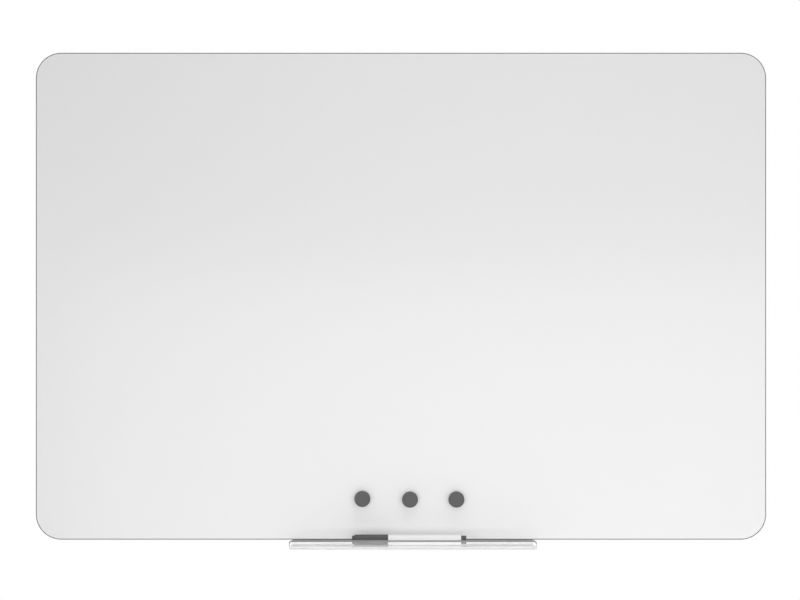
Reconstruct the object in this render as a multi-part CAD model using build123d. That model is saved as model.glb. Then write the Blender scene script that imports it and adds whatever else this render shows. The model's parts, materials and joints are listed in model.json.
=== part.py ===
from build123d import *

import os

# Frameless magnetic whiteboard. A steel-faced panel with rounded corners hangs on four keyhole
# brackets that its own body hides. A clear tray bent from one sheet hangs under the lower edge,
# a capped marker lies in the tray, and three round magnets sit on the face.
#
# Millimetres. +X runs to the reader's right, +Z up, and the face looks along -Y. The origin is on
# the wall plane, midway between the four keyholes, which is the middle of the board. A depth is a
# distance from the wall into the room, so depth 10 is Y = -10.

# Panel
board_width = 914.4
board_height = 609.6
corner_radius = 31.75
panel_thickness = 10.0
face_sheet_thickness = 0.5
backing_thickness = 0.3
edge_band_thickness = 1.0
edge_band_rounding = 0.5
panel_joint_gap = 0.05

# Keyhole brackets, pressed from strip into a hat
hanger_depth = 8.0
hanger_sheet = 1.5
hanger_bend_radius = 1.5
hanger_web_width = 30.0
hanger_wall_lean = 2.0
hanger_flange_width = 17.0
hanger_height = 38.0
hanger_corner_radius = 5.0
hanger_side_inset = 76.2
hanger_top_inset = 76.2
keyhole_entry_diameter = 10.0
keyhole_slot_width = 5.0
keyhole_drop = 8.5

# Tray
tray_width = 304.8
tray_offset = 14.6
tray_wall = 3.0
tray_reach = 45.0
tray_drop = 7.1
lip_height = 11.9
tray_bend_radius = 1.5
lip_corner_radius = 4.5
tray_flange_rise = 34.0
tray_flange_corner_radius = 8.0
tray_screw_rise = 21.0
tray_screw_inset = 26.0
tray_screw_count = 4

# Screws and washers
screw_diameter = 3.5
screw_head_diameter = 7.4
screw_head_height = 2.4
screw_tip_length = 2.0
screw_crown = 1.3
hanger_screw_length = 8.0
tray_screw_length = 10.0
washer_diameter = 9.5
washer_thickness = 0.8
screw_clearance = 0.4
pilot_clearance = 0.05
pilot_bottom_room = 0.6

# Magnets
magnet_diameter = 20.0
magnet_height = 7.5
magnet_draft = 0.3
magnet_rim_rounding = 1.1
magnet_wall = 1.5
magnet_roof = 1.3
magnet_plate_thickness = 1.2
magnet_face_recess = 0.3
magnet_fit = 0.05
magnet_left_x = -48.4
magnet_left_rise = 51.2
magnet_middle_x = 11.3
magnet_middle_rise = 50.4
magnet_right_x = 69.3
magnet_right_rise = 50.5

# Marker, measured along its own length from the closed end of its cap
marker_length = 141.5
marker_middle_x = 10.1
marker_reach = 25.0
marker_rest_gap = 0.3
cap_diameter = 13.4
cap_length = 44.6
cap_wall = 0.9
cap_end_diameter = 10.5
cap_end_length = 3.0
cap_end_wall = 1.6
cap_rounding = 0.8
cap_fit = 0.05
cap_shoulder_room = 0.2
cap_seal_length = 22.0
cap_seal_wall = 0.6
cap_seal_gap = 0.1
barrel_diameter = 13.0
barrel_wall = 1.0
barrel_rounding = 0.7
neck_length = 13.0
neck_chamfer = 0.4
holder_spigot_length = 11.0
holder_wall = 1.1
nose_length = 16.0
nose_root_diameter = 9.0
nose_tip_diameter = 5.0
nib_diameter = 3.4
nib_reach = 6.5
nib_rounding = 1.5
nib_root = 7.0
reservoir_clearance = 0.6
end_plug_diameter = 10.5
end_plug_length = 6.5
end_plug_spigot = 10.0
end_plug_wall = 1.1
end_plug_rounding = 0.6
press_fit_gap = 0.02

# Depths and heights that follow from the sizes above
panel_back = hanger_depth
face_depth = panel_back + panel_thickness
core_back = panel_back + backing_thickness
core_thickness = panel_thickness - backing_thickness - face_sheet_thickness
board_bottom = -board_height / 2
hanger_x = board_width / 2 - hanger_side_inset
hanger_z = board_height / 2 - hanger_top_inset
hanger_foot = hanger_web_width / 2 + hanger_wall_lean
hanger_end = hanger_foot + hanger_flange_width
tray_underside = board_bottom - tray_drop
tray_floor = tray_underside + tray_wall
lip_top = tray_underside + lip_height
marker_start_x = marker_middle_x - marker_length / 2
marker_depth = face_depth + marker_reach
marker_z = tray_floor + marker_rest_gap + cap_diameter / 2

# Turns a body of revolution drawn along +X so that it points away from the wall
OUT_OF_WALL = Rot(0, 0, -90)


def turned(corners):
    """A body of revolution about X, from (along, radius, rounding) corners of its half section."""
    points = [(along, radius) for along, radius, rounding in corners]
    roundings = [rounding for along, radius, rounding in corners]
    outline = FilletPolyline(*points, radius=roundings, close=True)
    return revolve(make_face(outline), Axis.X)


def upright_sheet(outline, back, thickness):
    """A sheet parallel to the wall, from its outline in X and Z and the depth of its back."""
    return extrude(Plane.XZ.offset(back) * outline, amount=thickness)


def bores(places, diameter, back, length):
    """Round holes square to the wall at each (x, z), from a depth outwards."""
    holes = [Pos(x, z) * Circle(diameter / 2) for x, z in places]
    return [upright_sheet(hole, back, length) for hole in holes]


def board_outline(inset):
    """The rounded outline of the board, drawn in by an inset all round."""
    return RectangleRounded(
        board_width - 2 * inset, board_height - 2 * inset, corner_radius - inset
    )


# Places of the brackets and screws
def hanger_places():
    """The keyhole centre of each bracket, as name to (x, z)."""
    rows = {"top": hanger_z, "bottom": -hanger_z}
    columns = {"left": -hanger_x, "right": hanger_x}
    return {f"{row}_{side}": (x, z) for row, z in rows.items() for side, x in columns.items()}


def hanger_screw_places():
    """Two screws for each bracket, in the middle of its flanges."""
    reach = (hanger_foot + hanger_end) / 2
    rise = keyhole_drop / 2
    return [(x + side * reach, z + rise) for x, z in hanger_places().values() for side in (-1, 1)]


def tray_screw_places():
    """A level row of screws through the tray's flange."""
    first = tray_offset - tray_width / 2 + tray_screw_inset
    step = (tray_width - 2 * tray_screw_inset) / (tray_screw_count - 1)
    return [(first + i * step, board_bottom + tray_screw_rise) for i in range(tray_screw_count)]


# Panel
def writing_sheet():
    """The lacquered steel face."""
    outline = board_outline(edge_band_thickness + panel_joint_gap)
    return upright_sheet(outline, core_back + core_thickness, face_sheet_thickness)


def panel_core():
    """The stiff core, with a blind pilot hole for each screw."""
    outline = board_outline(edge_band_thickness + panel_joint_gap)
    core = upright_sheet(outline, core_back, core_thickness)
    pilot = screw_diameter + 2 * pilot_clearance
    hanger_bite = hanger_screw_length - hanger_sheet - backing_thickness
    tray_bite = tray_screw_length - washer_thickness - tray_wall - backing_thickness
    core -= bores(hanger_screw_places(), pilot, core_back, hanger_bite + pilot_bottom_room)
    core -= bores(tray_screw_places(), pilot, core_back, tray_bite + pilot_bottom_room)
    return core


def backing_sheet():
    """The thin galvanised sheet on the back, holed where the screws pass."""
    outline = board_outline(edge_band_thickness + panel_joint_gap)
    sheet = upright_sheet(outline, panel_back, backing_thickness)
    places = hanger_screw_places() + tray_screw_places()
    return sheet - bores(places, screw_diameter + screw_clearance, panel_back, backing_thickness)


def edge_band():
    """The thin edging round the panel, with its front corner rounded over."""
    ring = board_outline(0) - board_outline(edge_band_thickness)
    band = upright_sheet(ring, panel_back, panel_thickness)
    front = band.faces().sort_by(Axis.Y)[0]
    return fillet(front.outer_wire().edges(), edge_band_rounding)


# Keyhole brackets
def keyhole():
    """The outline of the keyhole, with its entry at the origin and its slot running up."""
    slot = Pos(0, keyhole_drop / 2) * Rot(0, 0, 90) * SlotCenterToCenter(
        keyhole_drop, keyhole_slot_width
    )
    return Circle(keyhole_entry_diameter / 2) + slot


def hanger():
    """A hat-shaped bracket round a keyhole at x = 0, z = 0: flanges on the panel, web on the wall."""
    on_panel = -(hanger_depth - hanger_sheet / 2)
    on_wall = -hanger_sheet / 2
    bends = FilletPolyline(
        (-hanger_end, on_panel),
        (-hanger_foot, on_panel),
        (-hanger_web_width / 2, on_wall),
        (hanger_web_width / 2, on_wall),
        (hanger_foot, on_panel),
        (hanger_end, on_panel),
        radius=hanger_bend_radius + hanger_sheet / 2,
    )
    low = (keyhole_drop - hanger_height) / 2
    hat = extrude(Plane.XY.offset(low) * trace(bends, hanger_sheet), amount=hanger_height)
    ends = hat.edges().filter_by(Axis.Y).group_by(Axis.X)
    hat = fillet(ends[0] + ends[-1], hanger_corner_radius)
    hat -= upright_sheet(keyhole(), 0, hanger_depth / 2)
    reach = (hanger_foot + hanger_end) / 2
    places = [(side * reach, keyhole_drop / 2) for side in (-1, 1)]
    return hat - bores(places, screw_diameter + screw_clearance, 0, hanger_depth)


# Screws and washers
def screw(length):
    """A pan-head screw along +X, with the top of its head at the origin."""
    radius = screw_diameter / 2
    tip = screw_head_height + length
    return turned(
        [
            (0, 0, 0),
            (0, screw_head_diameter / 2 - screw_crown, 0),
            (screw_crown, screw_head_diameter / 2, 0),
            (screw_head_height, screw_head_diameter / 2, 0),
            (screw_head_height, radius, 0),
            (tip - screw_tip_length, radius, 0),
            (tip, 0, 0),
        ]
    )


def screws(places, length, seat):
    """One screw at each (x, z), the underside of its head at the depth of its seat."""
    top = -(seat - screw_head_height)
    return Compound([Pos(x, top, z) * OUT_OF_WALL * screw(length) for x, z in places])


def tray_washers():
    """A flat washer under each of the tray's screws."""
    seat = panel_back - tray_wall - washer_thickness
    outer = Circle(washer_diameter / 2)
    ring = outer - Circle((screw_diameter + screw_clearance) / 2)
    return Compound(
        [upright_sheet(Pos(x, z) * ring, seat, washer_thickness) for x, z in tray_screw_places()]
    )


# Tray
def tray():
    """One sheet bent twice: a flange behind the panel, a floor under it and a lip in front."""
    flange = -(panel_back - tray_wall / 2)
    lip = -(face_depth + tray_reach - tray_wall / 2)
    floor = tray_underside + tray_wall / 2
    bends = FilletPolyline(
        (flange, board_bottom + tray_flange_rise),
        (flange, floor),
        (lip, floor),
        (lip, lip_top),
        radius=tray_bend_radius + tray_wall / 2,
    )
    left = tray_offset - tray_width / 2
    sheet = extrude(Plane.YZ.offset(left) * trace(bends, tray_wall), amount=tray_width)
    ends = sheet.edges().filter_by(Axis.Y)
    flange_corners = ends.filter_by_position(Axis.Z, board_bottom, -board_bottom)
    lip_corners = ends.filter_by_position(Axis.Z, lip_top - tray_wall, lip_top + tray_wall)
    sheet = fillet(flange_corners.group_by(Axis.Z)[-1], tray_flange_corner_radius)
    sheet = fillet(lip_corners, lip_corner_radius)
    return sheet - bores(tray_screw_places(), screw_diameter + screw_clearance, 0, panel_back)


# Magnets
def magnet_places():
    """Where each magnet was put on the face by hand, as side to (x, z)."""
    return {
        "left": (magnet_left_x, board_bottom + magnet_left_rise),
        "middle": (magnet_middle_x, board_bottom + magnet_middle_rise),
        "right": (magnet_right_x, board_bottom + magnet_right_rise),
    }


def magnet_pieces():
    """The housing, steel back plate and ferrite disc of one magnet, along +X from the face."""
    roof = magnet_height - magnet_roof
    cavity = magnet_diameter / 2 - magnet_wall
    core = cavity - magnet_fit
    plate = roof - magnet_plate_thickness
    housing = turned(
        [
            (0, magnet_diameter / 2, 0),
            (magnet_height, magnet_diameter / 2 - magnet_draft, magnet_rim_rounding),
            (magnet_height, 0, 0),
            (roof, 0, 0),
            (roof, cavity, 0),
            (0, cavity, 0),
        ]
    )
    back_plate = turned([(plate, 0, 0), (plate, core, 0), (roof, core, 0), (roof, 0, 0)])
    disc = turned(
        [(magnet_face_recess, 0, 0), (magnet_face_recess, core, 0), (plate, core, 0), (plate, 0, 0)]
    )
    return {"housing": housing, "plate": back_plate, "disc": disc}


# Marker
def marker_cap():
    """The cap: a thin shell, stepped in at its closed end, round a sealing tube."""
    outer = cap_diameter / 2
    inner = outer - cap_wall
    end = cap_end_diameter / 2
    seal_mouth = cap_end_wall + cap_seal_length
    seal = nose_radius(seal_mouth) + cap_seal_gap
    shoulder = cap_end_length + cap_wall
    return turned(
        [
            (0, 0, 0),
            (0, end, cap_rounding),
            (cap_end_length, end, 0),
            (cap_end_length, outer, cap_rounding),
            (cap_length, outer, 0),
            (cap_length, inner, 0),
            (shoulder, inner, 0),
            (shoulder, seal + cap_seal_wall, 0),
            (seal_mouth, seal + cap_seal_wall, 0),
            (seal_mouth, seal, 0),
            (cap_end_wall, seal, 0),
            (cap_end_wall, 0, 0),
        ]
    )


def nose_radius(along):
    """The radius of the nib holder's tapered nose at a distance from the cap's closed end."""
    root = cap_length + cap_shoulder_room - neck_length
    taper = (nose_root_diameter - nose_tip_diameter) / 2 / nose_length
    return nose_root_diameter / 2 - taper * (root - along)


def marker_nib_holder():
    """The front section: a spigot in the barrel, the neck the cap grips and a tapered nose."""
    shoulder = cap_length + cap_shoulder_room
    neck_start = shoulder - neck_length
    nose_start = neck_start - nose_length
    neck = cap_diameter / 2 - cap_wall - cap_fit
    spigot = barrel_diameter / 2 - barrel_wall - press_fit_gap
    spigot_end = shoulder + holder_spigot_length
    return turned(
        [
            (nose_start, nib_diameter / 2, 0),
            (nose_start, nose_tip_diameter / 2, 0),
            (neck_start, nose_root_diameter / 2, 0),
            (neck_start, neck - neck_chamfer, 0),
            (neck_start + neck_chamfer, neck, 0),
            (shoulder, neck, 0),
            (shoulder, spigot, 0),
            (spigot_end, spigot, 0),
            (spigot_end, spigot - holder_wall, 0),
            (neck_start, spigot - holder_wall, 0),
            (neck_start, nib_diameter / 2, 0),
        ]
    )


def marker_barrel():
    """The plain tube between the neck and the end plug."""
    start = cap_length + cap_shoulder_room
    end = marker_length - end_plug_length
    outer = barrel_diameter / 2
    inner = outer - barrel_wall
    return turned(
        [
            (start, inner, 0),
            (start, outer, 0),
            (end, outer, barrel_rounding),
            (end, inner, 0),
        ]
    )


def marker_end_plug():
    """The tail plug, hollow from the inside, its spigot pressed into the barrel."""
    seat = marker_length - end_plug_length
    spigot = barrel_diameter / 2 - barrel_wall - press_fit_gap
    cup = end_plug_diameter / 2 - end_plug_wall
    start = seat - end_plug_spigot
    return turned(
        [
            (start, cup, 0),
            (start, spigot, 0),
            (seat, spigot, 0),
            (seat, end_plug_diameter / 2, 0),
            (marker_length, end_plug_diameter / 2, end_plug_rounding),
            (marker_length, 0, 0),
            (marker_length - end_plug_wall, 0, 0),
            (marker_length - end_plug_wall, cup, 0),
        ]
    )


def marker_nib():
    """The felt rod, its round tip ahead of the nose and its root in the ink reservoir."""
    nose_start = cap_length + cap_shoulder_room - neck_length - nose_length
    root = cap_length + cap_shoulder_room + holder_spigot_length + nib_root
    radius = nib_diameter / 2
    return turned(
        [
            (nose_start - nib_reach, 0, 0),
            (nose_start - nib_reach, radius, nib_rounding),
            (root, radius, 0),
            (root, 0, 0),
        ]
    )


def marker_reservoir():
    """The ink-soaked fibre rod, held between the nib holder and the end plug."""
    start = cap_length + cap_shoulder_room + holder_spigot_length
    end = marker_length - end_plug_length - end_plug_spigot
    radius = barrel_diameter / 2 - barrel_wall - reservoir_clearance
    return turned(
        [
            (start, nib_diameter / 2, 0),
            (start, radius, 0),
            (end, radius, 0),
            (end, 0, 0),
            (start + nib_root, 0, 0),
            (start + nib_root, nib_diameter / 2, 0),
        ]
    )


def build():
    """Every piece of the whiteboard, as name to shape."""
    pieces = {
        "writing_sheet": writing_sheet(),
        "panel_core": panel_core(),
        "backing_sheet": backing_sheet(),
        "edge_band": edge_band(),
        "hanger_screws": screws(
            hanger_screw_places(), hanger_screw_length, panel_back - hanger_sheet
        ),
        "tray": tray(),
        "tray_washers": tray_washers(),
        "tray_screws": screws(
            tray_screw_places(), tray_screw_length, panel_back - tray_wall - washer_thickness
        ),
    }
    for name, (x, z) in hanger_places().items():
        pieces[f"hanger_{name}"] = Pos(x, 0, z) * hanger()
    for side, (x, z) in magnet_places().items():
        for name, solid in magnet_pieces().items():
            pieces[f"magnet_{side}_{name}"] = Pos(x, -face_depth, z) * OUT_OF_WALL * solid
    in_tray = Pos(marker_start_x, -marker_depth, marker_z)
    pieces["marker_cap"] = in_tray * marker_cap()
    pieces["marker_barrel"] = in_tray * marker_barrel()
    pieces["marker_end_plug"] = in_tray * marker_end_plug()
    pieces["marker_nib_holder"] = in_tray * marker_nib_holder()
    pieces["marker_nib"] = in_tray * marker_nib()
    pieces["marker_reservoir"] = in_tray * marker_reservoir()
    return pieces


os.makedirs("parts", exist_ok=True)
for piece_name, piece in build().items():
    export_step(piece, f"parts/{piece_name}.step")
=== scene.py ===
import json
import math

import bmesh
import bpy
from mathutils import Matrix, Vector
from mathutils.geometry import delaunay_2d_cdt

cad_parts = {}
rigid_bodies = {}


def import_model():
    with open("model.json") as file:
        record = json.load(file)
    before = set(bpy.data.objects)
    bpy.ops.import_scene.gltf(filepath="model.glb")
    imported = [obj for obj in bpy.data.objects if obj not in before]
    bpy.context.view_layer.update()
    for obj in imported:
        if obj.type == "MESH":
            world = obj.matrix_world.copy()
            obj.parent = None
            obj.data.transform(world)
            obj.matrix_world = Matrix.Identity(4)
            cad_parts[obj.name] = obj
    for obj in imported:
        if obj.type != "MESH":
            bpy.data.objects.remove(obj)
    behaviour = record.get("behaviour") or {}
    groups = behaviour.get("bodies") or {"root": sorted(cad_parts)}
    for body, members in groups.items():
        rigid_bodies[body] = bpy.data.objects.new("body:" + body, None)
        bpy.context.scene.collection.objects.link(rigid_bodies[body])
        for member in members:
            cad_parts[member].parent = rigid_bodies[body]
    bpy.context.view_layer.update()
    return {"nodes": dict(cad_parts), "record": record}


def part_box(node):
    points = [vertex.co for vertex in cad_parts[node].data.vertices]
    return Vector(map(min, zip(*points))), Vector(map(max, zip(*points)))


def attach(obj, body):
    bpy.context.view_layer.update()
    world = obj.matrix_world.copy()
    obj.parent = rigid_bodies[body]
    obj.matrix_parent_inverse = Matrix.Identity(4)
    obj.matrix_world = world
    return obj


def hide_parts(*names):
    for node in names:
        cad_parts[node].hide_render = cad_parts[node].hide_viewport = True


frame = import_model()

# A frameless magnetic whiteboard with a clear tray, a capped marker and three magnets, in metres.
# The wall plane is y = 0, the writing face looks along -Y and +Z is up. Places come from the packed
# model's boxes. The sizes below are the ones that a box doesn't give.

# Panel and its sheets, with the rounding of their cut edges
CORNER_RADIUS = 0.03175
EDGE_BAND = 0.001
EDGE_BAND_ROUNDING = 0.0005
SHEET_ARRIS = 0.00008

# Keyhole brackets, hat-shaped: a web on the wall, two leaning walls, and two flanges on the panel
HANGERS = ["hanger_top_left", "hanger_top_right", "hanger_bottom_left", "hanger_bottom_right"]
HANGER_SHEET = 0.0015
HANGER_BEND_RADIUS = 0.0015
HANGER_WEB_WIDTH = 0.030
HANGER_WALL_LEAN = 0.002
HANGER_FLANGE_WIDTH = 0.017
HANGER_CORNER_RADIUS = 0.005
HANGER_ARRIS = 0.0002
KEYHOLE_ENTRY_RADIUS = 0.005
KEYHOLE_SLOT_RADIUS = 0.0025
KEYHOLE_DROP = 0.0085

# Tray. A grey line just under the panel is painted shadow of the gap there, and a grey rim and strip
# on the lip are painted shade of the dark line that the rounded rim shows by bending light; the strip
# ends level with one of the steps in which the lip's corners are rounded.
TRAY_WALL = 0.003
TRAY_BEND_RADIUS = 0.0015
TRAY_LIP_CORNER = 0.0045
TRAY_FLANGE_CORNER = 0.008
TRAY_ARRIS = 0.00145
TRAY_LINE_DROP = 0.0020
TRAY_LINE_WIDTH = 0.0018
TRAY_STRIP_STEP = 14
TRAY_SCREW_RISE = 0.021
TRAY_SCREW_INSET = 0.026
TRAY_SCREW_COUNT = 4

# Screws and washers. The recess tapers to those shares of its width and span, and its cutter stands
# proud of the head. Each screw is turned on from the last by the golden angle, in radians.
SCREW_RADIUS = 0.00175
SCREW_HEAD_RADIUS = 0.0037
SCREW_HEAD_HEIGHT = 0.0024
SCREW_HEAD_ROUNDING = 0.0002
SCREW_TIP = 0.002
SCREW_HOLE_RADIUS = 0.00195
SCREW_DOME = 0.0013
SCREW_FIRST_ANGLE = 0.4
SCREW_NEXT_ANGLE = 2.399963
RECESS_SPAN = 0.0042
RECESS_SPAN_TAPER = 0.44
RECESS_WIDTH = 0.00095
RECESS_WIDTH_TAPER = 0.72
RECESS_DEPTH = 0.0016
RECESS_PROUD = 0.0002
WASHER_RADIUS = 0.00475
WASHER_ARRIS = 0.00015

# Magnets
MAGNET_DRAFT = 0.0003
MAGNET_RIM = 0.0011
MAGNET_FOOT = 0.0003
MAGNET_WALL = 0.0015
MAGNET_ROOF = 0.0013

# Marker
CAP_WALL = 0.0009
CAP_END_RADIUS = 0.00525
CAP_END_LENGTH = 0.003
CAP_END_WALL = 0.0016
CAP_ROUNDING = 0.0008
CAP_STEP_ROUNDING = 0.0003
CAP_MOUTH_ROUNDING = 0.0003
CAP_SEAL_LENGTH = 0.022
CAP_SEAL_RADIUS = 0.0031
CAP_SEAL_WALL = 0.0006
CAP_SEAL_ROUNDING = 0.0002
BARREL_WALL = 0.001
BARREL_ROUNDING = 0.0007
BARREL_NOSE_ROUNDING = 0.0004
BARREL_BORE_ROUNDING = 0.0003
PLUG_RADIUS = 0.00525
PLUG_LENGTH = 0.0065
PLUG_ROUNDING = 0.0006
PLUG_SPIGOT_ROUNDING = 0.0003
PLUG_WALL = 0.0011

# Smoothness: steps for a bend or a small rounding, for a quarter turn of a sheet's corner, for the
# rounding of a sheet's edge, and for a full turn of a marker or magnet, a screw and a washer
ARC_STEPS = 8
CORNER_STEPS = 24
RIM_STEPS = 4
ROUND_STEPS = 96
SCREW_STEPS = 48
WASHER_STEPS = 64
SHARP_ANGLE = math.radians(35)

# Tolerances: lengths taken for equal or for nothing, and the normal of a face taken for upright
SAME_LEVEL = 1e-6
SAME_POINT = 1e-7
NO_LENGTH = 1e-9
UPRIGHT_NORMAL = 0.99

# The kind of faces asked of delaunay_2d_cdt: ones that a mesh can hold
MESH_FACES = 4

# Camera, floor and light, with the lens in millimetres
CAMERA_PLACE = (-0.00125, -2.358, -0.00476)
CAMERA_LENS = 84.10
FLOOR_HEIGHT = -0.75
FLOOR_SIZE = 8.0
FLOOR_FADE_START = 0.9
FLOOR_FADE_END = 2.0
AMBIENT = 0.43
LAMPS = {
    "top": {"place": (0.8, -1.5, 1.6), "aim": (0, 0, 0), "size": (1.0, 1.0), "watts": 2.4},
    "above": {"place": (0.2, -0.5, 1.5), "aim": (0.2, -0.2, -0.3), "size": (1.2, 0.6), "watts": 6.2},
    "left": {"place": (-1.5, -2.5, -0.2), "aim": (0, 0, 0), "size": (1.0, 1.0), "watts": 5.3},
    "near": {"place": (0.3, -0.95, -0.25), "aim": (0.2, 0, -0.25), "size": (1.8, 0.6), "watts": 4.2},
    "low": {"place": (0.2, -0.4, -0.72), "aim": (0.2, -0.4, 0), "size": (1.8, 0.5), "watts": 0.7},
    "floor": {"place": (0.2, -1.35, -0.73), "aim": (0.2, -1.35, 0), "size": (2.0, 1.8), "watts": 0.9},
    "back": {"place": (-0.9, 2.2, 0.9), "aim": (0, 0, 0), "size": (1.4, 1.4), "watts": 9.0},
}


def add_camera():
    """The photograph's viewing point: level, square to the board and almost on its middle."""
    camera = bpy.data.cameras.new("camera")
    camera.lens = CAMERA_LENS
    holder = bpy.data.objects.new("camera", camera)
    holder.location = CAMERA_PLACE
    holder.rotation_euler = (math.radians(90), 0, 0)
    bpy.context.scene.collection.objects.link(holder)
    bpy.context.scene.camera = holder


def add_lamps():
    """Large soft lamps: a near one in front of the tray, fill from all round, and one behind."""
    for name, lamp in LAMPS.items():
        light = bpy.data.lights.new(name, "AREA")
        light.shape = "RECTANGLE"
        light.size, light.size_y = lamp["size"]
        light.energy = lamp["watts"]
        holder = bpy.data.objects.new(name, light)
        holder.location = lamp["place"]
        looking = Vector(lamp["aim"]) - holder.location
        holder.rotation_euler = looking.to_track_quat("-Z", "Y").to_euler()
        bpy.context.scene.collection.objects.link(holder)


def seen_directly(tree):
    """1 for camera, glossy and transmission rays, which see the plain white background."""
    path = tree.nodes.new("ShaderNodeLightPath")
    value = path.outputs["Is Camera Ray"]
    for other in ("Is Glossy Ray", "Is Transmission Ray"):
        largest = tree.nodes.new("ShaderNodeMath")
        largest.operation = "MAXIMUM"
        tree.links.new(value, largest.inputs[0])
        tree.links.new(path.outputs[other], largest.inputs[1])
        value = largest.outputs[0]
    return value


def add_world():
    """A white background, and a dimmer even light from all round."""
    world = bpy.data.worlds.new("studio")
    bpy.context.scene.world = world
    world.use_nodes = True
    tree = world.node_tree
    tree.nodes.clear()
    ambient = tree.nodes.new("ShaderNodeBackground")
    ambient.inputs["Color"].default_value = (1, 1, 1, 1)
    ambient.inputs["Strength"].default_value = AMBIENT
    white = tree.nodes.new("ShaderNodeBackground")
    white.inputs["Color"].default_value = (1, 1, 1, 1)
    white.inputs["Strength"].default_value = 1
    mix = tree.nodes.new("ShaderNodeMixShader")
    output = tree.nodes.new("ShaderNodeOutputWorld")
    tree.links.new(seen_directly(tree), mix.inputs["Fac"])
    tree.links.new(ambient.outputs[0], mix.inputs[1])
    tree.links.new(white.outputs[0], mix.inputs[2])
    tree.links.new(mix.outputs[0], output.inputs["Surface"])


# Material helpers
def material(name, colour, roughness, metallic=0.0):
    """A node material with one shader, and the shader's own values set."""
    made = bpy.data.materials.new(name)
    made.use_nodes = True
    shader = made.node_tree.nodes["Principled BSDF"]
    shader.inputs["Base Color"].default_value = (*colour, 1)
    shader.inputs["Roughness"].default_value = roughness
    shader.inputs["Metallic"].default_value = metallic
    return made, made.node_tree, shader


def placed(tree, stretch=(1, 1, 1)):
    """The place on the piece in metres, stretched along the axes."""
    coordinates = tree.nodes.new("ShaderNodeTexCoord")
    mapping = tree.nodes.new("ShaderNodeMapping")
    mapping.inputs["Scale"].default_value = stretch
    tree.links.new(coordinates.outputs["Object"], mapping.inputs["Vector"])
    return mapping.outputs["Vector"]


def noise(tree, scale, detail, stretch=(1, 1, 1)):
    """Soft noise with that many waves a metre."""
    texture = tree.nodes.new("ShaderNodeTexNoise")
    texture.inputs["Scale"].default_value = scale
    texture.inputs["Detail"].default_value = detail
    tree.links.new(placed(tree, stretch), texture.inputs["Vector"])
    return texture.outputs["Fac"]


def spread(tree, value, low, high, start=0.1, end=0.9):
    """A texture's value stretched from start and end to low and high."""
    ranged = tree.nodes.new("ShaderNodeMapRange")
    ranged.inputs["From Min"].default_value = start
    ranged.inputs["From Max"].default_value = end
    ranged.inputs["To Min"].default_value = low
    ranged.inputs["To Max"].default_value = high
    tree.links.new(value, ranged.inputs["Value"])
    return ranged.outputs["Result"]


def tint(tree, shader, factor, dark, light):
    """A base colour between two, by a texture."""
    mix = tree.nodes.new("ShaderNodeMix")
    mix.data_type = "RGBA"
    mix.inputs["A"].default_value = (*dark, 1)
    mix.inputs["B"].default_value = (*light, 1)
    tree.links.new(factor, mix.inputs["Factor"])
    tree.links.new(mix.outputs["Result"], shader.inputs["Base Color"])


def bump(tree, shader, height, distance, strength):
    """A relief of that depth in metres, felt to that strength."""
    relief = tree.nodes.new("ShaderNodeBump")
    relief.inputs["Distance"].default_value = distance
    relief.inputs["Strength"].default_value = strength
    tree.links.new(height, relief.inputs["Height"])
    tree.links.new(relief.outputs["Normal"], shader.inputs["Normal"])


def grey(level):
    """A neutral colour."""
    return (level, level, level)


def let_lamps_through(tree, shader, share):
    """Lamps reach what lies behind a clear sheet, dimmed to that share."""
    path = tree.nodes.new("ShaderNodeLightPath")
    passing = tree.nodes.new("ShaderNodeBsdfTransparent")
    passing.inputs["Color"].default_value = (*grey(share), 1)
    mix = tree.nodes.new("ShaderNodeMixShader")
    tree.links.new(path.outputs["Is Shadow Ray"], mix.inputs["Fac"])
    tree.links.new(shader.outputs[0], mix.inputs[1])
    tree.links.new(passing.outputs[0], mix.inputs[2])
    tree.links.new(mix.outputs[0], tree.nodes["Material Output"].inputs["Surface"])


# Materials, one for each slot of the record
def lacquered_steel():
    """White semi-gloss lacquer: faint orange peel, and a haze left by wiping from side to side."""
    made, tree, shader = material("lacquered_steel", grey(0.84), 0.2)
    tint(tree, shader, noise(tree, 2.5, 2), grey(0.832), grey(0.848))
    wiped = noise(tree, 22, 3, (0.15, 1, 1))
    tree.links.new(spread(tree, wiped, 0.18, 0.23), shader.inputs["Roughness"])
    bump(tree, shader, noise(tree, 700, 2), 0.000004, 0.35)
    return made


def edging():
    """Satin dark grey edging, drawn lengthwise. Its dark is in part its own colour and in part painted
    reflection of the dark surroundings that its rounded front edge reflects.
    """
    made, tree, shader = material("edging", grey(0.1), 0.42)
    drawn = noise(tree, 60, 4, (1, 30, 1))
    tint(tree, shader, drawn, grey(0.09), grey(0.11))
    tree.links.new(spread(tree, drawn, 0.36, 0.5), shader.inputs["Roughness"])
    bump(tree, shader, noise(tree, 2500, 2), 0.000003, 0.4)
    return made


def galvanised_steel():
    """Dull zinc with the small flat crystals of hot dipping, their borders uneven."""
    made, tree, shader = material("galvanised_steel", grey(0.5), 0.45, 1.0)
    texture = tree.nodes.new("ShaderNodeTexNoise")
    texture.inputs["Scale"].default_value = 350
    tree.links.new(placed(tree), texture.inputs["Vector"])
    uneven = tree.nodes.new("ShaderNodeMix")
    uneven.data_type = "VECTOR"
    uneven.inputs["Factor"].default_value = 0.004
    tree.links.new(placed(tree), uneven.inputs["A"])
    tree.links.new(texture.outputs["Color"], uneven.inputs["B"])
    crystals = tree.nodes.new("ShaderNodeTexVoronoi")
    crystals.inputs["Scale"].default_value = 240
    tree.links.new(uneven.outputs["Result"], crystals.inputs["Vector"])
    shade = tree.nodes.new("ShaderNodeSeparateColor")
    tree.links.new(crystals.outputs["Color"], shade.inputs["Color"])
    tint(tree, shader, shade.outputs["Red"], (0.47, 0.48, 0.485), (0.55, 0.56, 0.565))
    tree.links.new(spread(tree, shade.outputs["Green"], 0.42, 0.54, 0, 1), shader.inputs["Roughness"])
    bump(tree, shader, noise(tree, 350, 3), 0.00002, 0.25)
    return made


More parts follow.
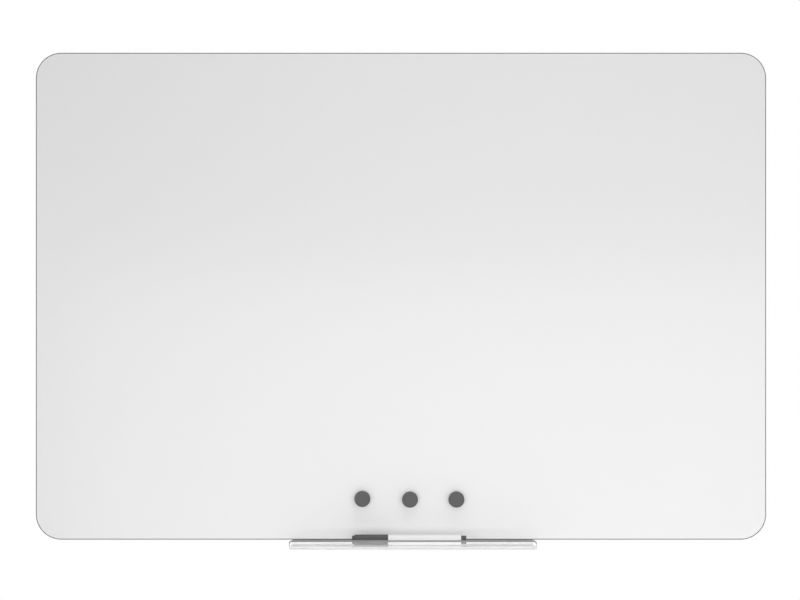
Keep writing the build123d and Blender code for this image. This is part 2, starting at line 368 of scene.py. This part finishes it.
def zinc(name, light):
    """Bright zinc plating or plain steel, a little cloudy."""
    made, tree, shader = material(name, grey(light), 0.34, 1.0)
    cloud = noise(tree, 220, 4)
    cool = (light * 0.98, light, light * 1.02)
    tint(tree, shader, cloud, tuple(0.86 * c for c in cool), cool)
    tree.links.new(spread(tree, cloud, 0.26, 0.42), shader.inputs["Roughness"])
    bump(tree, shader, noise(tree, 3000, 3), 0.000004, 0.4)
    return made


def fibreboard():
    """Pressed brown fibre."""
    made, tree, shader = material("fibreboard", (0.3, 0.2, 0.12), 0.85)
    fibre = noise(tree, 900, 6, (1, 3, 1))
    tint(tree, shader, fibre, (0.2, 0.13, 0.075), (0.36, 0.25, 0.15))
    bump(tree, shader, fibre, 0.0001, 0.5)
    return made


def clear_acrylic():
    """Clear polished acrylic with a faint haze and a bright sheen."""
    made, tree, shader = material("clear_acrylic", grey(0.97), 0.03)
    shader.inputs["Transmission Weight"].default_value = 0.95
    shader.inputs["IOR"].default_value = 1.1
    shader.inputs["Coat Weight"].default_value = 1.0
    shader.inputs["Coat Roughness"].default_value = 0.18
    haze = noise(tree, 40, 6, (0.3, 1, 1))
    tree.links.new(spread(tree, haze, 0.02, 0.04), shader.inputs["Roughness"])
    tint(tree, shader, noise(tree, 25, 2), grey(0.96), grey(0.98))
    let_lamps_through(tree, shader, 0.98)
    return made


def painted_shade_acrylic():
    """The same sheet painted a dull grey where it stands for shade: painted shadow of the gap under the
    panel and painted shade of the dark line that the lip's rounded rim shows by bending light, with
    fine scratches along it.
    """
    made, tree, shader = material("painted_shade_acrylic", grey(0.27), 0.45)
    shader.inputs["Transmission Weight"].default_value = 0.1
    scratches = noise(tree, 900, 4, (0.05, 1, 1))
    tint(tree, shader, scratches, grey(0.24), grey(0.3))
    bump(tree, shader, scratches, 0.00001, 0.5)
    return made


def moulded(name, colour, roughness, grain):
    """Satin moulded plastic with a fine grain."""
    made, tree, shader = material(name, colour, roughness)
    cloud = noise(tree, 70, 1)
    tint(tree, shader, cloud, tuple(0.98 * c for c in colour), tuple(1.02 * c for c in colour))
    tree.links.new(
        spread(tree, cloud, roughness - 0.03, roughness + 0.03), shader.inputs["Roughness"]
    )
    bump(tree, shader, noise(tree, 3500, 3), grain, 0.5)
    return made


def felt():
    """Black felt, its fibres along the marker."""
    made, tree, shader = material("felt", grey(0.02), 0.95)
    fibres = noise(tree, 2200, 4, (0.15, 1, 1))
    tint(tree, shader, fibres, grey(0.012), grey(0.05))
    bump(tree, shader, fibres, 0.00012, 0.8)
    return made


def ink_fibre():
    """Ink-soaked fibre, its strands along the marker."""
    made, tree, shader = material("ink_fibre", grey(0.03), 0.8)
    strands = noise(tree, 1500, 4, (0.1, 1, 1))
    tint(tree, shader, strands, grey(0.02), grey(0.07))
    bump(tree, shader, strands, 0.0001, 0.6)
    return made


def ferrite():
    """Ground ceramic magnet."""
    made, tree, shader = material("ferrite", grey(0.06), 0.6)
    ground = noise(tree, 800, 5, (1, 1, 0.2))
    tint(tree, shader, ground, grey(0.045), grey(0.08))
    bump(tree, shader, ground, 0.00001, 0.5)
    return made


def make_materials():
    """Every slot of the record, as slot to material, and the grey that paints shade and shadow on the
    tray.
    """
    return {
        "lacquered_steel": lacquered_steel(),
        "fibreboard": fibreboard(),
        "galvanised_steel": galvanised_steel(),
        "edging": edging(),
        "zinc_brackets": zinc("zinc_brackets", 0.7),
        "zinc_screws": zinc("zinc_screws", 0.76),
        "clear_acrylic": clear_acrylic(),
        "painted_shade_acrylic": painted_shade_acrylic(),
        "white_plastic": moulded("white_plastic", grey(0.92), 0.25, 0.000004),
        "pale_plastic": moulded("pale_plastic", grey(0.72), 0.35, 0.000004),
        "dark_plastic": moulded("dark_plastic", grey(0.047), 0.34, 0.000005),
        "felt": felt(),
        "ink_fibre": ink_fibre(),
        "magnet_plastic": moulded("magnet_plastic", grey(0.08), 0.5, 0.000012),
        "magnet_steel": zinc("magnet_steel", 0.5),
        "ferrite": ferrite(),
    }


# Mesh helpers
def arc(centre, radius, start, turn, steps):
    """Points and outward directions along an arc, its ends included."""
    found = []
    for i in range(steps + 1):
        angle = start + turn * i / steps
        out = Vector((math.cos(angle), math.sin(angle)))
        found.append((Vector(centre) + radius * out, out))
    return found


def rotated(vector, angle):
    """A flat vector turned anticlockwise."""
    cos, sin = math.cos(angle), math.sin(angle)
    return Vector((vector.x * cos - vector.y * sin, vector.x * sin + vector.y * cos))


def rounded_rectangle(low, high, radii, levels=()):
    """Anticlockwise (point, outward direction) round a rectangle, with a radius for each corner from
    the low one on, and a point on both sides at each level."""
    (x0, y0), (x1, y1) = low, high
    r0, r1, r2, r3 = radii
    quarter = math.pi / 2
    loop = arc((x0 + r0, y0 + r0), r0, 2 * quarter, quarter, CORNER_STEPS)
    loop += arc((x1 - r1, y0 + r1), r1, 3 * quarter, quarter, CORNER_STEPS)
    loop += [(Vector((x1, y)), Vector((1, 0))) for y in sorted(levels)]
    loop += arc((x1 - r2, y1 - r2), r2, 0, quarter, CORNER_STEPS)
    loop += arc((x0 + r3, y1 - r3), r3, quarter, quarter, CORNER_STEPS)
    loop += [(Vector((x0, y)), Vector((-1, 0))) for y in sorted(levels, reverse=True)]
    return loop


def round_hole(centre, radius):
    """Clockwise (point, direction into the hole) round a hole."""
    loop = arc(centre, radius, 0, -2 * math.pi, 4 * ARC_STEPS)[:-1]
    return [(point, -out) for point, out in loop]


def keyhole(centre):
    """Clockwise (point, direction into the hole) round a keyhole whose slot runs up from its entry."""
    meet = math.asin(KEYHOLE_SLOT_RADIUS / KEYHOLE_ENTRY_RADIUS)
    quarter = math.pi / 2
    entry = arc(centre, KEYHOLE_ENTRY_RADIUS, quarter - meet, 2 * meet - 4 * quarter, 4 * ARC_STEPS)
    end = Vector(centre) + Vector((0, KEYHOLE_DROP))
    slot = arc(end, KEYHOLE_SLOT_RADIUS, 2 * quarter, -2 * quarter, 2 * ARC_STEPS)
    return [(point, -out) for point, out in entry + slot]


def sheet_mesh(name, loops, levels, thickness, arris, place):
    """A sheet with rounded-over edges. The loops lie in its own flat u and v, its faces are split at
    each level of v, and place(u, v, w) puts it in the room, with w from the middle of its thickness."""
    rim = []
    for step in range(RIM_STEPS + 1):
        angle = math.pi / 2 * step / RIM_STEPS
        inset, drop = arris * (1 - math.sin(angle)), arris * (1 - math.cos(angle))
        rim.append((inset, thickness / 2 - drop))
    rim += [(inset, -w) for inset, w in reversed(rim)]
    mesh = bmesh.new()
    rings = [
        [mesh.verts.new(place(*(point - inset * out), w)) for loop in loops for point, out in loop]
        for inset, w in rim
    ]
    for face in flat_faces(loops, levels, arris):
        mesh.faces.new([rings[0][i] for i in face])
        mesh.faces.new([rings[-1][i] for i in reversed(face)])
    first = 0
    for loop in loops:
        count = len(loop)
        for upper, lower in zip(rings, rings[1:]):
            for i in range(count):
                a, b = first + i, first + (i + 1) % count
                mesh.faces.new((upper[a], lower[a], lower[b], upper[b]))
        first += count
    bmesh.ops.recalc_face_normals(mesh, faces=mesh.faces)
    return finished(name, mesh)


def flat_faces(loops, levels, inset):
    """Faces that fill the first loop, without the holes, and split at each level. They name the
    points of all the loops, in order."""
    points = []
    borders = []
    for loop in loops:
        borders.append([len(points) + i for i in range(len(loop))])
        points += [point - inset * out for point, out in loop]
    outline = borders[0]
    holes = [list(reversed(border)) for border in borders[1:]]
    splits = []
    for level in levels:
        ends = [i for i in outline if abs(points[i].y - level) < SAME_LEVEL]
        splits.append((ends[0], ends[-1]))
    _, _, faces, origins, _, owners = delaunay_2d_cdt(
        points, splits, [outline, *holes], MESH_FACES, SAME_POINT
    )
    kept = [face for face, owned in zip(faces, owners) if list(owned) == [0]]
    return [[origins[i][0] for i in face] for face in kept]


def finished(name, mesh):
    """A mesh with smooth faces and sharp creases, as data."""
    data = bpy.data.meshes.new(name)
    mesh.to_mesh(data)
    mesh.free()
    data.shade_smooth()
    data.set_sharp_from_angle(angle=SHARP_ANGLE)
    return data


def keep_flats_flat(piece):
    """Large faces keep their own normals beside their rounded edges."""
    weighted = piece.modifiers.new("flat faces", "WEIGHTED_NORMAL")
    weighted.mode = "FACE_AREA"
    weighted.weight = 100
    weighted.keep_sharp = True


def bent_path(corners, radius):
    """A line with rounded corners, as a function from a length along it to a point and its normal,
    with the lengths of the steps of its bends and its whole length. A run of it holds the length
    where it starts, its own length, its first point and direction, and how far it turns."""
    corners = [Vector(corner) for corner in corners]
    runs = []
    creases = []
    at = 0.0
    start = corners[0]
    for before, corner, after in zip(corners, corners[1:], corners[2:]):
        into = (corner - before).normalized()
        out = (after - corner).normalized()
        turn = into.angle_signed(out)
        cut = radius * math.tan(abs(turn) / 2)
        length = (corner - cut * into - start).length
        runs.append((at, length, start, into, 0))
        at += length
        creases += [at + radius * abs(turn) * i / ARC_STEPS for i in range(ARC_STEPS + 1)]
        runs.append((at, radius * abs(turn), corner - cut * into, into, turn))
        at += radius * abs(turn)
        start = corner + cut * out
    into = (corners[-1] - start).normalized()
    runs.append((at, (corners[-1] - start).length, start, into, 0))
    total = at + (corners[-1] - start).length

    def along(length):
        for begin, extent, first, direction, turn in runs:
            if length <= begin + extent + NO_LENGTH:
                break
        rest = length - begin
        left = Vector((-direction.y, direction.x))
        if turn == 0:
            return first + rest * direction, left
        side = -math.copysign(1, turn)
        centre = first + side * radius * left
        turned_left = rotated(left, side * rest / radius)
        return centre - side * radius * turned_left, turned_left

    return along, creases, total


def rounded_corners(corners):
    """A closed (along, radius) outline from (along, radius, rounding) corners."""
    points = []
    count = len(corners)
    for i, (along, radius, rounding) in enumerate(corners):
        corner = Vector((along, radius))
        if rounding == 0:
            points.append(corner)
            continue
        before = Vector(corners[i - 1][:2])
        after = Vector(corners[(i + 1) % count][:2])
        back, on = (before - corner).normalized(), (after - corner).normalized()
        half = back.angle(on) / 2
        centre = corner + rounding / math.sin(half) * (back + on).normalized()
        first = corner + rounding / math.tan(half) * back - centre
        last = corner + rounding / math.tan(half) * on - centre
        turn = first.angle_signed(last)
        for step in range(ARC_STEPS + 1):
            points.append(centre + rotated(first, -turn * step / ARC_STEPS))
    return points


def turned_mesh(name, corners, place, steps=ROUND_STEPS):
    """A solid of revolution. place(along, across, up) puts it in the room."""
    mesh = bmesh.new()
    rings = []
    for along, radius in rounded_corners(corners):
        if radius < NO_LENGTH:
            rings.append([mesh.verts.new(place(along, 0, 0))] * steps)
            continue
        turns = [2 * math.pi * i / steps for i in range(steps)]
        rings.append(
            [mesh.verts.new(place(along, radius * math.cos(t), radius * math.sin(t))) for t in turns]
        )
    for ring, following in zip(rings, rings[1:] + rings[:1]):
        for i in range(steps):
            j = (i + 1) % steps
            face = list(dict.fromkeys((ring[i], ring[j], following[j], following[i])))
            if len(face) > 2:
                mesh.faces.new(face)
    bmesh.ops.recalc_face_normals(mesh, faces=mesh.faces)
    return finished(name, mesh)


def add_piece(name, data, body, slot, replaced, materials):
    """An object of the model: its material, the body that it rides and the nodes it stands for."""
    piece = bpy.data.objects.new(name, data)
    bpy.context.scene.collection.objects.link(piece)
    data.materials.append(materials[slot])
    keep_flats_flat(piece)
    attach(piece, body)
    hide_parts(*replaced)


# Panel
def upright(node):
    """Puts a flat sheet parallel to the wall, on the middle plane of a node's box."""
    low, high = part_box(node)
    middle = (low.y + high.y) / 2
    return lambda u, v, w: Vector((u, middle - w, v))


def depth_of(node):
    """How far a node reaches from front to back."""
    low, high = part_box(node)
    return high.y - low.y


def board_loop(inset):
    """The board's rounded outline, drawn in by an inset."""
    low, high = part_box("edge_band")
    return rounded_rectangle(
        (low.x + inset, low.z + inset), (high.x - inset, high.z - inset), [CORNER_RADIUS - inset] * 4
    )


def sheet_inset():
    """How far the panel's sheets stand in from its outline."""
    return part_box("writing_sheet")[0].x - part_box("edge_band")[0].x


def add_writing_sheet(materials):
    """The lacquered steel face, its sheared edge just broken."""
    data = sheet_mesh(
        "face_sheet", [board_loop(sheet_inset())], [], depth_of("writing_sheet"), SHEET_ARRIS,
        upright("writing_sheet"),
    )
    add_piece("face_sheet", data, "board", "lacquered_steel", ["writing_sheet"], materials)


def add_backing_sheet(materials):
    """The galvanised back, holed under the screws."""
    screws = hanger_screw_places() + tray_screw_places()
    holes = [round_hole(place, SCREW_HOLE_RADIUS) for place in screws]
    data = sheet_mesh(
        "back_sheet", [board_loop(sheet_inset()), *holes], [], depth_of("backing_sheet"),
        SHEET_ARRIS, upright("backing_sheet"),
    )
    add_piece("back_sheet", data, "board", "galvanised_steel", ["backing_sheet"], materials)


def add_edge_band(materials):
    """The edging: an outer wall rounded over at the front, swept round the board's outline."""
    low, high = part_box("edge_band")
    section = [(0.0, high.y)]
    for step in range(ARC_STEPS + 1):
        angle = math.pi / 2 * step / ARC_STEPS
        inset = EDGE_BAND_ROUNDING * (1 - math.cos(angle))
        section.append((inset, low.y + EDGE_BAND_ROUNDING * (1 - math.sin(angle))))
    section += [(EDGE_BAND, low.y), (EDGE_BAND, high.y)]
    loop = board_loop(0)
    mesh = bmesh.new()
    rings = []
    for inset, y in section:
        points = [point - inset * out for point, out in loop]
        rings.append([mesh.verts.new((point.x, y, point.y)) for point in points])
    count = len(loop)
    for ring, following in zip(rings, rings[1:] + rings[:1]):
        for i in range(count):
            j = (i + 1) % count
            mesh.faces.new((ring[i], ring[j], following[j], following[i]))
    bmesh.ops.recalc_face_normals(mesh, faces=mesh.faces)
    add_piece("edging", finished("edging", mesh), "board", "edging", ["edge_band"], materials)


# Keyhole brackets
def hanger_keyhole(name):
    """The centre of a bracket's keyhole entry, as (x, z)."""
    low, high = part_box(name)
    return (low.x + high.x) / 2, (low.z + high.z) / 2 - KEYHOLE_DROP / 2


def hanger_screw_places():
    """Two screws for each bracket, in the middle of its flanges."""
    reach = HANGER_WEB_WIDTH / 2 + HANGER_WALL_LEAN + HANGER_FLANGE_WIDTH / 2
    places = []
    for name in HANGERS:
        x, z = hanger_keyhole(name)
        places += [(x + side * reach, z + KEYHOLE_DROP / 2) for side in (-1, 1)]
    return places


def add_hangers(materials):
    """The brackets: strip bent to a hat round each keyhole, its pressed edges broken."""
    half = HANGER_SHEET / 2
    foot = HANGER_WEB_WIDTH / 2 + HANGER_WALL_LEAN
    end = foot + HANGER_FLANGE_WIDTH
    for name in HANGERS:
        low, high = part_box(name)
        x, z = hanger_keyhole(name)
        middle = (low.z + high.z) / 2
        on_panel, on_wall = low.y + half, high.y - half
        corners = [
            (-end, on_panel), (-foot, on_panel), (-HANGER_WEB_WIDTH / 2, on_wall),
            (HANGER_WEB_WIDTH / 2, on_wall), (foot, on_panel), (end, on_panel),
        ]
        along, creases, length = bent_path(corners, HANGER_BEND_RADIUS + half)

        def place(u, v, w):
            point, normal = along(v)
            point = point + w * normal
            return Vector((x + point.x, point.y, middle - u))

        tall = (high.z - low.z) / 2
        outline = rounded_rectangle((-tall, 0), (tall, length), [HANGER_CORNER_RADIUS] * 4, creases)
        # On the strip's own flat, u runs down and v to the right
        slot = [
            (Vector((middle - z - point.y, length / 2 + point.x)), Vector((-out.y, out.x)))
            for point, out in keyhole((0, 0))
        ]
        inset = HANGER_FLANGE_WIDTH / 2
        holes = [round_hole((0, v), SCREW_HOLE_RADIUS) for v in (inset, length - inset)]
        loops = [outline, slot, *holes]
        data = sheet_mesh(name + "_bracket", loops, creases, HANGER_SHEET, HANGER_ARRIS, place)
        add_piece(name + "_bracket", data, "board", "zinc_brackets", [name], materials)


# Tray
def tray_screw_places():
    """A level row of screws through the tray's flange, as (x, z)."""
    low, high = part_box("tray")
    first = low.x + TRAY_SCREW_INSET
    step = (high.x - low.x - 2 * TRAY_SCREW_INSET) / (TRAY_SCREW_COUNT - 1)
    board_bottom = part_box("edge_band")[0].z
    return [(first + i * step, board_bottom + TRAY_SCREW_RISE) for i in range(TRAY_SCREW_COUNT)]


def add_tray(materials):
    """The tray: one clear sheet bent twice, with painted shade on its lip and a painted shadow line
    across its flange.
    """
    low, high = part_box("tray")
    half = TRAY_WALL / 2
    corners = [
        (half - high.y, high.z), (half - high.y, low.z + half),
        (-low.y - half, low.z + half), (-low.y - half, tray_lip_top()),
    ]
    along, creases, length = bent_path(corners, TRAY_BEND_RADIUS + half)

    def place(u, v, w):
        point, normal = along(v)
        point = point + w * normal
        return Vector((u, -point.x, point.y))

    radii = [TRAY_FLANGE_CORNER, TRAY_FLANGE_CORNER, TRAY_LIP_CORNER, TRAY_LIP_CORNER]
    line_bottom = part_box("edge_band")[0].z - TRAY_LINE_DROP
    line_top = line_bottom + TRAY_LINE_WIDTH
    levels = [high.z - line_top, high.z - line_bottom, *creases]
    outline = rounded_rectangle((low.x, 0), (high.x, length), radii, levels)
    holes = [round_hole((x, high.z - z), SCREW_HOLE_RADIUS) for x, z in tray_screw_places()]
    turned = math.pi / 2 * TRAY_STRIP_STEP / CORNER_STEPS
    strip = TRAY_LIP_CORNER - (TRAY_LIP_CORNER - TRAY_ARRIS) * math.sin(turned)
    splits = [*levels, length - strip]
    data = sheet_mesh("clear_tray", [outline, *holes], splits, TRAY_WALL, TRAY_ARRIS, place)
    add_piece("clear_tray", data, "board", "clear_acrylic", ["tray"], materials)
    # The second material paints the shadow under the panel and the shade on the lip's rim.
    data.materials.append(materials["painted_shade_acrylic"])
    paint_tray_shade(data, line_bottom, line_top, strip)


def paint_tray_shade(data, line_bottom, line_top, strip):
    """Gives its second material, painted shade, to the line on the flange's front, where it paints the
    shadow of the gap under the panel, to the lip's rounded rim, and to a strip of that height below the
    lip's top."""
    low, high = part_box("tray")
    lip_top = tray_lip_top()
    for face in data.polygons:
        y, z = face.center.y, face.center.z
        on_flange = y > high.y - 2 * TRAY_WALL and face.normal.y < -UPRIGHT_NORMAL
        on_line = on_flange and line_bottom < z < line_top
        on_rim = z > lip_top - TRAY_LIP_CORNER and abs(face.normal.y) < UPRIGHT_NORMAL
        on_lip = y < low.y + TRAY_WALL and (on_rim or z > lip_top - strip)
        face.material_index = 1 if on_line or on_lip else 0


def tray_lip_top():
    """The height of the top of the tray's lip, the highest point at its front."""
    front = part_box("tray")[0].y
    vertices = frame["nodes"]["tray"].data.vertices
    return max(v.co.z for v in vertices if v.co.y < front + TRAY_WALL)


# Screws and washers
def screw_mesh(name, length):
    """A plain pan-head screw along +X from the top of its head."""
    tip = SCREW_HEAD_HEIGHT + length
    corners = [
        (0, 0, 0),
        (0, SCREW_HEAD_RADIUS, SCREW_DOME),
        (SCREW_HEAD_HEIGHT, SCREW_HEAD_RADIUS, SCREW_HEAD_ROUNDING),
        (SCREW_HEAD_HEIGHT, SCREW_RADIUS, 0),
        (tip - SCREW_TIP, SCREW_RADIUS, 0),
        (tip, 0, 0),
    ]

    def place(along, across, up):
        return Vector((along, across, up))

    return turned_mesh(name, corners, place, SCREW_STEPS)


def recess_mesh(name):
    """The cutter for a cross recess: two blades that narrow towards the bottom."""
    half_span, half_width = RECESS_SPAN / 2, RECESS_WIDTH / 2
    mesh = bmesh.new()
    for turn in (0, 1):
        top, bottom = [], []
        for across, up in ((-1, -1), (1, -1), (1, 1), (-1, 1)):
            for ring, depth, span, width in (
                (top, -RECESS_PROUD, half_span, half_width),
                (bottom, RECESS_DEPTH, half_span * RECESS_SPAN_TAPER, half_width * RECESS_WIDTH_TAPER),
            ):
                y, z = (across * span, up * width) if turn else (across * width, up * span)
                ring.append(mesh.verts.new((depth, y, z)))
        mesh.faces.new(top)
        mesh.faces.new(list(reversed(bottom)))
        for i in range(4):
            j = (i + 1) % 4
            mesh.faces.new((top[i], bottom[i], bottom[j], top[j]))
    bmesh.ops.recalc_face_normals(mesh, faces=mesh.faces)
    data = bpy.data.meshes.new(name)
    mesh.to_mesh(data)
    mesh.free()
    return data


def cut_recess(data):
    """The screw with its recess cut out, as data."""
    objects = bpy.context.scene.collection.objects
    screw = bpy.data.objects.new("screw", data)
    cutter = bpy.data.objects.new("cutter", recess_mesh("cutter"))
    objects.link(screw)
    objects.link(cutter)
    cut = screw.modifiers.new("recess", "BOOLEAN")
    cut.object = cutter
    cut.operation = "DIFFERENCE"
    cut.solver = "EXACT"
    cut.use_self = True
    depsgraph = bpy.context.evaluated_depsgraph_get()
    result = bpy.data.meshes.new_from_object(screw.evaluated_get(depsgraph))
    bpy.data.objects.remove(screw)
    bpy.data.objects.remove(cutter)
    return result


def add_screws(name, node, places, materials):
    """Pan-head screws at each (x, z), each driven home to its own angle."""
    screw = cut_recess(screw_mesh(name + "_one", depth_of(node) - SCREW_HEAD_HEIGHT))
    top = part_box(node)[1].y
    mesh = bmesh.new()
    for i, (x, z) in enumerate(places):
        angle = SCREW_FIRST_ANGLE + SCREW_NEXT_ANGLE * i
        cos, sin = math.cos(angle), math.sin(angle)
        one = bmesh.new()
        one.from_mesh(screw)
        for vertex in one.verts:
            along, across, up = vertex.co
            vertex.co = (x + across * cos - up * sin, top - along, z + across * sin + up * cos)
        part = bpy.data.meshes.new("part")
        one.to_mesh(part)
        one.free()
        mesh.from_mesh(part)
    add_piece(name, finished(name, mesh), "board", "zinc_screws", [node], materials)


def add_washers(materials):
    """A flat washer under each of the tray's screws, its stamped edges broken."""
    node = "tray_washers"
    mesh = bmesh.new()
    for centre in tray_screw_places():
        outline = arc(centre, WASHER_RADIUS, 0, 2 * math.pi, WASHER_STEPS)[:-1]
        loops = [outline, round_hole(centre, SCREW_HOLE_RADIUS)]
        mesh.from_mesh(sheet_mesh("washer", loops, [], depth_of(node), WASHER_ARRIS, upright(node)))
    add_piece("washers", finished("washers", mesh), "board", "zinc_screws", [node], materials)


# Magnets
def add_magnets(materials):
    """The magnets' housings, drafted and rounded at the rim."""
    for side in ("left", "middle", "right"):
        node = f"magnet_{side}_housing"
        low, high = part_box(node)
        radius = (high.x - low.x) / 2
        height = high.y - low.y
        x, z = (low.x + high.x) / 2, (low.z + high.z) / 2
        corners = [
            (0, radius, MAGNET_FOOT),
            (height, radius - MAGNET_DRAFT, MAGNET_RIM),
            (height, 0, 0),
            (height - MAGNET_ROOF, 0, 0),
            (height - MAGNET_ROOF, radius - MAGNET_WALL, 0),
            (0, radius - MAGNET_WALL, 0),
        ]

        def place(along, across, up):
            return Vector((x + across, high.y - along, z + up))

        data = turned_mesh(f"magnet_{side}_cover", corners, place)
        add_piece(
            f"magnet_{side}_cover", data, f"magnet_{side}", "magnet_plastic", [node], materials
        )


# Marker
def along_marker():
    """Puts a piece turned about X on the marker's axis, from the closed end of the cap."""
    low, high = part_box("marker_cap")
    start = low.x
    y, z = (low.y + high.y) / 2, (low.z + high.z) / 2
    return lambda along, across, up: Vector((start + along, y + across, z + up))


def add_cap(materials):
    """The cap: a thin shell, stepped in at its closed end, round its sealing tube."""
    low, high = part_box("marker_cap")
    outer = (high.z - low.z) / 2
    length = high.x - low.x
    inner = outer - CAP_WALL
    mouth = CAP_END_WALL + CAP_SEAL_LENGTH
    shoulder = CAP_END_LENGTH + CAP_WALL
    corners = [
        (0, 0, 0),
        (0, CAP_END_RADIUS, CAP_ROUNDING),
        (CAP_END_LENGTH, CAP_END_RADIUS, CAP_STEP_ROUNDING),
        (CAP_END_LENGTH, outer, CAP_ROUNDING),
        (length, outer, CAP_MOUTH_ROUNDING),
        (length, inner, CAP_MOUTH_ROUNDING),
        (shoulder, inner, CAP_STEP_ROUNDING),
        (shoulder, CAP_SEAL_RADIUS + CAP_SEAL_WALL, CAP_STEP_ROUNDING),
        (mouth, CAP_SEAL_RADIUS + CAP_SEAL_WALL, CAP_SEAL_ROUNDING),
        (mouth, CAP_SEAL_RADIUS, CAP_SEAL_ROUNDING),
        (CAP_END_WALL, CAP_SEAL_RADIUS, 0),
        (CAP_END_WALL, 0, 0),
    ]
    data = turned_mesh("cap", corners, along_marker())
    add_piece("cap", data, "cap", "dark_plastic", ["marker_cap"], materials)


def add_barrel(materials):
    """The white tube."""
    low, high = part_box("marker_barrel")
    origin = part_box("marker_cap")[0].x
    start, end = low.x - origin, high.x - origin
    outer = (high.z - low.z) / 2
    inner = outer - BARREL_WALL
    corners = [
        (start, inner, BARREL_BORE_ROUNDING),
        (start, outer, BARREL_NOSE_ROUNDING),
        (end, outer, BARREL_ROUNDING),
        (end, inner, 0),
    ]
    data = turned_mesh("barrel", corners, along_marker())
    add_piece("barrel", data, "marker", "white_plastic", ["marker_barrel"], materials)


def add_end_plug(materials):
    """The tail plug, hollow from the inside."""
    low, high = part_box("marker_end_plug")
    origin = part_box("marker_cap")[0].x
    start, end = low.x - origin, high.x - origin
    seat = end - PLUG_LENGTH
    spigot = (high.z - low.z) / 2
    cup = PLUG_RADIUS - PLUG_WALL
    corners = [
        (start, cup, 0),
        (start, spigot, PLUG_SPIGOT_ROUNDING),
        (seat, spigot, 0),
        (seat, PLUG_RADIUS, 0),
        (end, PLUG_RADIUS, PLUG_ROUNDING),
        (end, 0, 0),
        (end - PLUG_WALL, 0, 0),
        (end - PLUG_WALL, cup, 0),
    ]
    data = turned_mesh("end_plug", corners, along_marker())
    add_piece("end_plug", data, "marker", "dark_plastic", ["marker_end_plug"], materials)


def dress_frame(materials):
    """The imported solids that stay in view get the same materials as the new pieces."""
    for subpart in frame["record"]["subparts"]:
        node = frame["nodes"][subpart["node"]]
        node.data.materials.clear()
        node.data.materials.append(materials[subpart["material_slot"]])


# Floor
def add_floor():
    """A plain pale floor that fades into the white background away from the object."""
    mesh = bmesh.new()
    half = FLOOR_SIZE / 2
    corners = [(-half, -half), (half, -half), (half, half), (-half, half)]
    mesh.faces.new([mesh.verts.new((x, y, FLOOR_HEIGHT)) for x, y in corners])
    data = bpy.data.meshes.new("floor")
    mesh.to_mesh(data)
    mesh.free()
    floor = bpy.data.objects.new("floor", data)
    bpy.context.scene.collection.objects.link(floor)
    made, tree, shader = material("floor", grey(0.88), 0.6)
    tint(tree, shader, noise(tree, 3, 3), grey(0.87), grey(0.89))
    geometry = tree.nodes.new("ShaderNodeNewGeometry")
    flat = tree.nodes.new("ShaderNodeVectorMath")
    flat.operation = "MULTIPLY"
    flat.inputs[1].default_value = (1, 1, 0)
    length = tree.nodes.new("ShaderNodeVectorMath")
    length.operation = "LENGTH"
    tree.links.new(geometry.outputs["Position"], flat.inputs[0])
    tree.links.new(flat.outputs["Vector"], length.inputs[0])
    fade = spread(tree, length.outputs["Value"], 0, 1, FLOOR_FADE_START, FLOOR_FADE_END)
    both = tree.nodes.new("ShaderNodeMath")
    both.operation = "MULTIPLY"
    tree.links.new(fade, both.inputs[0])
    tree.links.new(seen_directly(tree), both.inputs[1])
    white = tree.nodes.new("ShaderNodeEmission")
    white.inputs["Color"].default_value = (1, 1, 1, 1)
    white.inputs["Strength"].default_value = 1
    mix = tree.nodes.new("ShaderNodeMixShader")
    output = tree.nodes["Material Output"]
    tree.links.new(both.outputs[0], mix.inputs["Fac"])
    tree.links.new(shader.outputs[0], mix.inputs[1])
    tree.links.new(white.outputs[0], mix.inputs[2])
    tree.links.new(mix.outputs[0], output.inputs["Surface"])
    data.materials.append(made)


def main():
    """The studio first, then the part, piece by piece."""
    materials = make_materials()
    add_camera()
    add_lamps()
    add_world()
    add_floor()
    dress_frame(materials)
    add_writing_sheet(materials)
    add_backing_sheet(materials)
    add_edge_band(materials)
    add_hangers(materials)
    add_tray(materials)
    add_screws("bracket_screws", "hanger_screws", hanger_screw_places(), materials)
    add_screws("flange_screws", "tray_screws", tray_screw_places(), materials)
    add_washers(materials)
    add_magnets(materials)
    add_cap(materials)
    add_barrel(materials)
    add_end_plug(materials)


main()
bpy.context.scene.view_settings.view_transform = "Standard"
